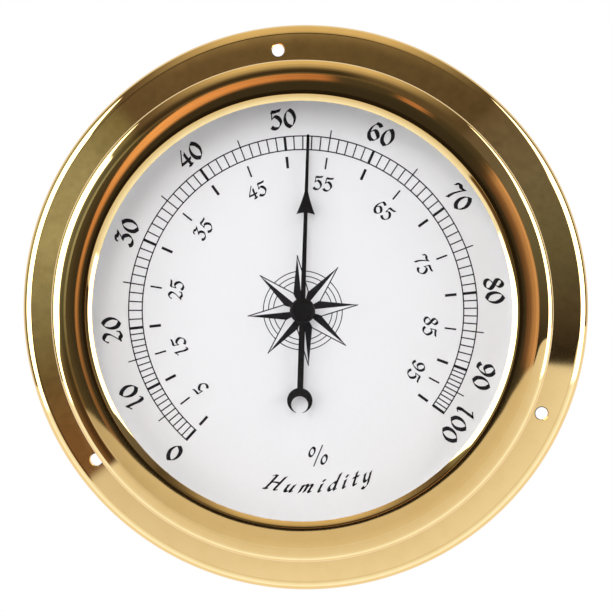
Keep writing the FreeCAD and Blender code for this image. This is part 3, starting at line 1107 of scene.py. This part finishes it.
def warm_patch(net, around, near):
    """Straight ahead of the dial: a dark patch with abstract warm bands in it."""
    strands = net.noise(net.math("MULTIPLY_ADD", around, 0.00006, near), 420.0, 3.0, "1D")
    dark = net.bands(near, (
        (0.0, (0.02, 0.015, 0.01)),
        (0.012, (0.02, 0.015, 0.01)),
        (0.014, (0.045, 0.040, 0.032)),
        (0.035, (0.050, 0.045, 0.035)),
        (0.060, (0.090, 0.078, 0.054)),
    ))
    inner = net.math("MULTIPLY_ADD", net.ramp(around, -69, 6), 0.018, 0.022)
    outer = net.math("MULTIPLY_ADD", net.ramp(around, -75, -14), 0.0275, 0.033)
    past_inner = net.ramp(net.minus(near, inner), -0.003, 0.008)
    short_of_outer = net.ramp(net.minus(outer, near), -0.0015, 0.0015)
    left = net.times(past_inner, short_of_outer, net.window(around, -125, 12, 3.0))
    left_tone = net.bands(around, (
        (-130, (0.20, 0.11, 0.06)),
        (-104, (0.30, 0.17, 0.095)),
        (-84, (0.56, 0.30, 0.15)),
        (-62, (0.76, 0.36, 0.17)),
        (-39, (1.05, 0.56, 0.28)),
        (-15, (0.85, 0.42, 0.21)),
        (6, (0.55, 0.25, 0.12)),
        (40, (0.55, 0.27, 0.14)),
    ))
    fleck = net.times(net.window(around, 30, 38, 3), net.window(near, 0.046, 0.057, 0.002))
    right = net.times(net.window(around, 60, 112, 4), net.window(near, 0.021, 0.059, 0.001))
    right_tone = net.bands(near, (
        (0.020, (0.10, 0.06, 0.04)),
        (0.033, (0.22, 0.125, 0.08)),
        (0.045, (0.50, 0.30, 0.18)),
        (0.058, (0.78, 0.48, 0.30)),
    ))
    patch = net.mix(right, dark, right_tone)
    patch = net.mix(net.math("MAXIMUM", left, fleck), patch, left_tone)
    return net.scaled(patch, net.ramp(strands, 0.3, 0.7, 0.72, 1.18))


def mirrored_room(net, direction, ahead, around, near, off_axis):
    """What polished metal mirrors above the table: a dim room, lighter overhead and behind."""
    sides = net.bands(around, (
        (-180, (0.20, 0.12, 0.07)),
        (-114, (0.206, 0.121, 0.071)),
        (-99, (0.16, 0.133, 0.089)),
        (-84, (0.275, 0.287, 0.222)),
        (-69, (0.405, 0.43, 0.344)),
        (-54, (0.362, 0.384, 0.312)),
        (-39, (0.225, 0.211, 0.137)),
        (-37, (0.140, 0.106, 0.076)),
        (6, (0.148, 0.118, 0.078)),
        (48, (0.108, 0.086, 0.062)),
        (50, (0.150, 0.126, 0.104)),
        (66, (0.174, 0.170, 0.156)),
        (81, (0.139, 0.144, 0.118)),
        (98, (0.075, 0.065, 0.055)),
        (108, (0.02, 0.015, 0.01)),
        (180, (0.02, 0.015, 0.01)),
    ))
    sides = net.scaled(sides, net.ramp(net.noise(direction, 1100.0, 3.0), 0.3, 0.7, 0.74, 1.26))
    dark_ring = net.far_bands(near, (
        (0.074, 0.0), (0.09, 0.45), (0.12, 0.64), (0.2, 0.58), (0.27, 0.34), (0.36, 0.0),
    ))
    dark_ring = net.times(dark_ring, net.ramp(around, 14, 24, 1.0, 0.0))
    sides = net.scaled(sides, net.minus(1.0, dark_ring))
    glow = net.far_bands(near, (
        (0.0675, 0.0), (0.0690, 0.10), (0.0705, 0.28), (0.0725, 0.28), (0.0745, 0.0),
        (0.20, 0.0), (0.27, 0.16), (0.35, 0.60), (0.84, 0.90), (2.6, 1.0),
    ))
    from_top = net.math("ABSOLUTE", net.minus(around, 6.0))
    glow = net.times(glow, net.ramp(from_top, 12, 42, 1.0, 0.0))
    room = net.mix(glow, sides, (0.80, 0.68, 0.46, 1))
    room = net.mix(net.ramp(off_axis, 104, 116), room, (0.90, 0.88, 0.84, 1))
    in_patch = net.times(net.ramp(near, 0.0595, 0.0605, 1.0, 0.0), net.ramp(ahead, 0.5, 0.6))
    return net.mix(in_patch, room, warm_patch(net, around, near))


def mirrored_table(net, side, near):
    """The white table as polished metal mirrors it: brighter below, dimmer to the left."""
    top = net.far_bands(near, (
        (0.040, (0.73, 0.69, 0.61)),
        (0.050, (0.77, 0.73, 0.65)),
        (0.060, (0.79, 0.76, 0.69)),
        (0.0655, (0.865, 0.87, 0.88)),
        (0.0695, (0.935, 0.96, 1.01)),
        (0.0720, (0.97, 1.00, 1.07)),
        (0.0745, (0.80, 0.79, 0.75)),
        (0.3, 0.88),
        (1.0, (1.08, 1.22, 1.42)),
        (3.0, (1.22, 1.42, 1.80)),
        (9.0, 1.0),
    ))
    left = net.times(net.ramp(side, -0.065, -0.01, 1.0, 0.0),
                     net.ramp(near, 0.058, 0.066, 0.62, 0.25),
                     net.ramp(near, 0.075, 0.12, 1.0, 0.0))
    return net.mix(left, top, (0.40, 0.36, 0.28, 1))


def make_world():
    """A pale studio: a white table below a dim room, and three soft boxes.

    A tall box stands at either side. Polished metal doesn't mirror the small one above. near
    and around are a direction's distance and angle from the one straight ahead of the dial.
    """
    world = bpy.data.worlds.new("studio")
    bpy.context.scene.world = world
    net = Net(world)
    direction = net.add("ShaderNodeTexCoord").outputs["Generated"]
    x, y, z = net.split(direction)
    forwards = net.times(y, -1.0)
    ahead = net.math("MAXIMUM", forwards, 0.001)
    off_axis = net.math("DEGREES", net.math("ARCCOSINE", forwards))
    side = net.math("ADD", net.math("DIVIDE", x, ahead), mirror_side)
    rise = net.math("ADD", net.math("DIVIDE", z, ahead), mirror_rise)
    around = net.math("DEGREES", net.math("ARCTAN2", side, rise))
    near = net.length(side, rise)

    # The table's edge is level in the middle and falls away to both sides
    from_middle = net.math("ABSOLUTE", net.math("MULTIPLY_ADD", ahead, mirror_side, x))
    beyond = net.math("MAXIMUM", net.math("MULTIPLY_ADD", ahead, -0.012, from_middle), 0.0)
    height = net.math("MULTIPLY_ADD", ahead, 0.0345, z)
    height = net.math("MULTIPLY_ADD", beyond, 0.2, height)
    table = net.ramp(height, -0.0008, 0.0008, 1.0, 0.0)

    # Both boxes' upper ends slant, and the left one's inner edge moves away at its lower end
    past_top = net.minus(around, net.ramp(off_axis, 16, 70, -46, -37))
    past_edge = net.minus(off_axis, net.ramp(around, -106, -86, 34, 16))
    left = net.times(net.ramp(around, -107, -105),
                     net.ramp(past_top, -1.0, 1.0, 1.0, 0.0),
                     net.ramp(past_edge, -0.8, 0.8),
                     net.ramp(off_axis, 73, 76, 1.0, 0.0))
    below_top = net.minus(around, net.ramp(off_axis, 22, 82, 68, 48))
    right = net.times(net.ramp(below_top, -1.0, 1.0),
                      net.ramp(around, 111, 113, 1.0, 0.0),
                      net.window(off_axis, 22, 82, 1.0))
    above = net.times(net.window(around, -24, 2, 6.0), net.window(off_axis, 11, 50, 4.0))

    # Low on the left, the outer part of the brass mirrors the room where the table would be
    low_left = net.times(net.window(around, -123, -90, 1.0), net.window(near, 0.0645, 0.5, 0.001))
    table_seen = net.times(table, net.minus(1.0, low_left))

    mirrored = mirrored_room(net, direction, ahead, around, near, off_axis)
    mirrored = net.mix(table_seen, mirrored, mirrored_table(net, side, near))
    mirrored = net.mix(net.math("MAXIMUM", left, right), mirrored, grey(mirrored_box))

    # What lights the object is stronger at low angles, so that the dial is darker at its edge
    low_angle = net.ramp(off_axis, 40, 80)
    shining = net.mix(table, grey(0.11), net.mix(low_angle, grey(0.37), grey(1.24)))
    for box, high_level, low_level in ((left, 1.39, 1.90), (right, 1.11, 2.78)):
        shining = net.mix(box, shining, net.mix(low_angle, grey(high_level), grey(low_level)))
    shining = net.mix(above, shining, grey(7.5))

    light_path = net.add("ShaderNodeLightPath")
    lit = net.mix(light_path.outputs["Is Glossy Ray"], shining, mirrored)
    seen = net.mix(light_path.outputs["Is Camera Ray"], lit, grey(1.0))
    background = net.add("ShaderNodeBackground")
    net.feed(background.inputs["Color"], seen)
    out = net.add("ShaderNodeOutputWorld")
    net.tree.links.new(background.outputs[0], out.inputs[0])


def main():
    enamel = dial_enamel()
    ink = dial_ink()
    finishes = paint_cad_nodes(enamel)
    make_case_shell(finishes["polished_brass"])
    make_front_bezel(finishes["polished_brass"])
    make_scale(ink)
    make_numbers(ink)
    make_legend(ink)
    make_rose(ink, enamel)
    make_camera()
    make_floor()
    make_world()
    scene = bpy.context.scene
    scene.view_settings.view_transform = "Standard"


main()
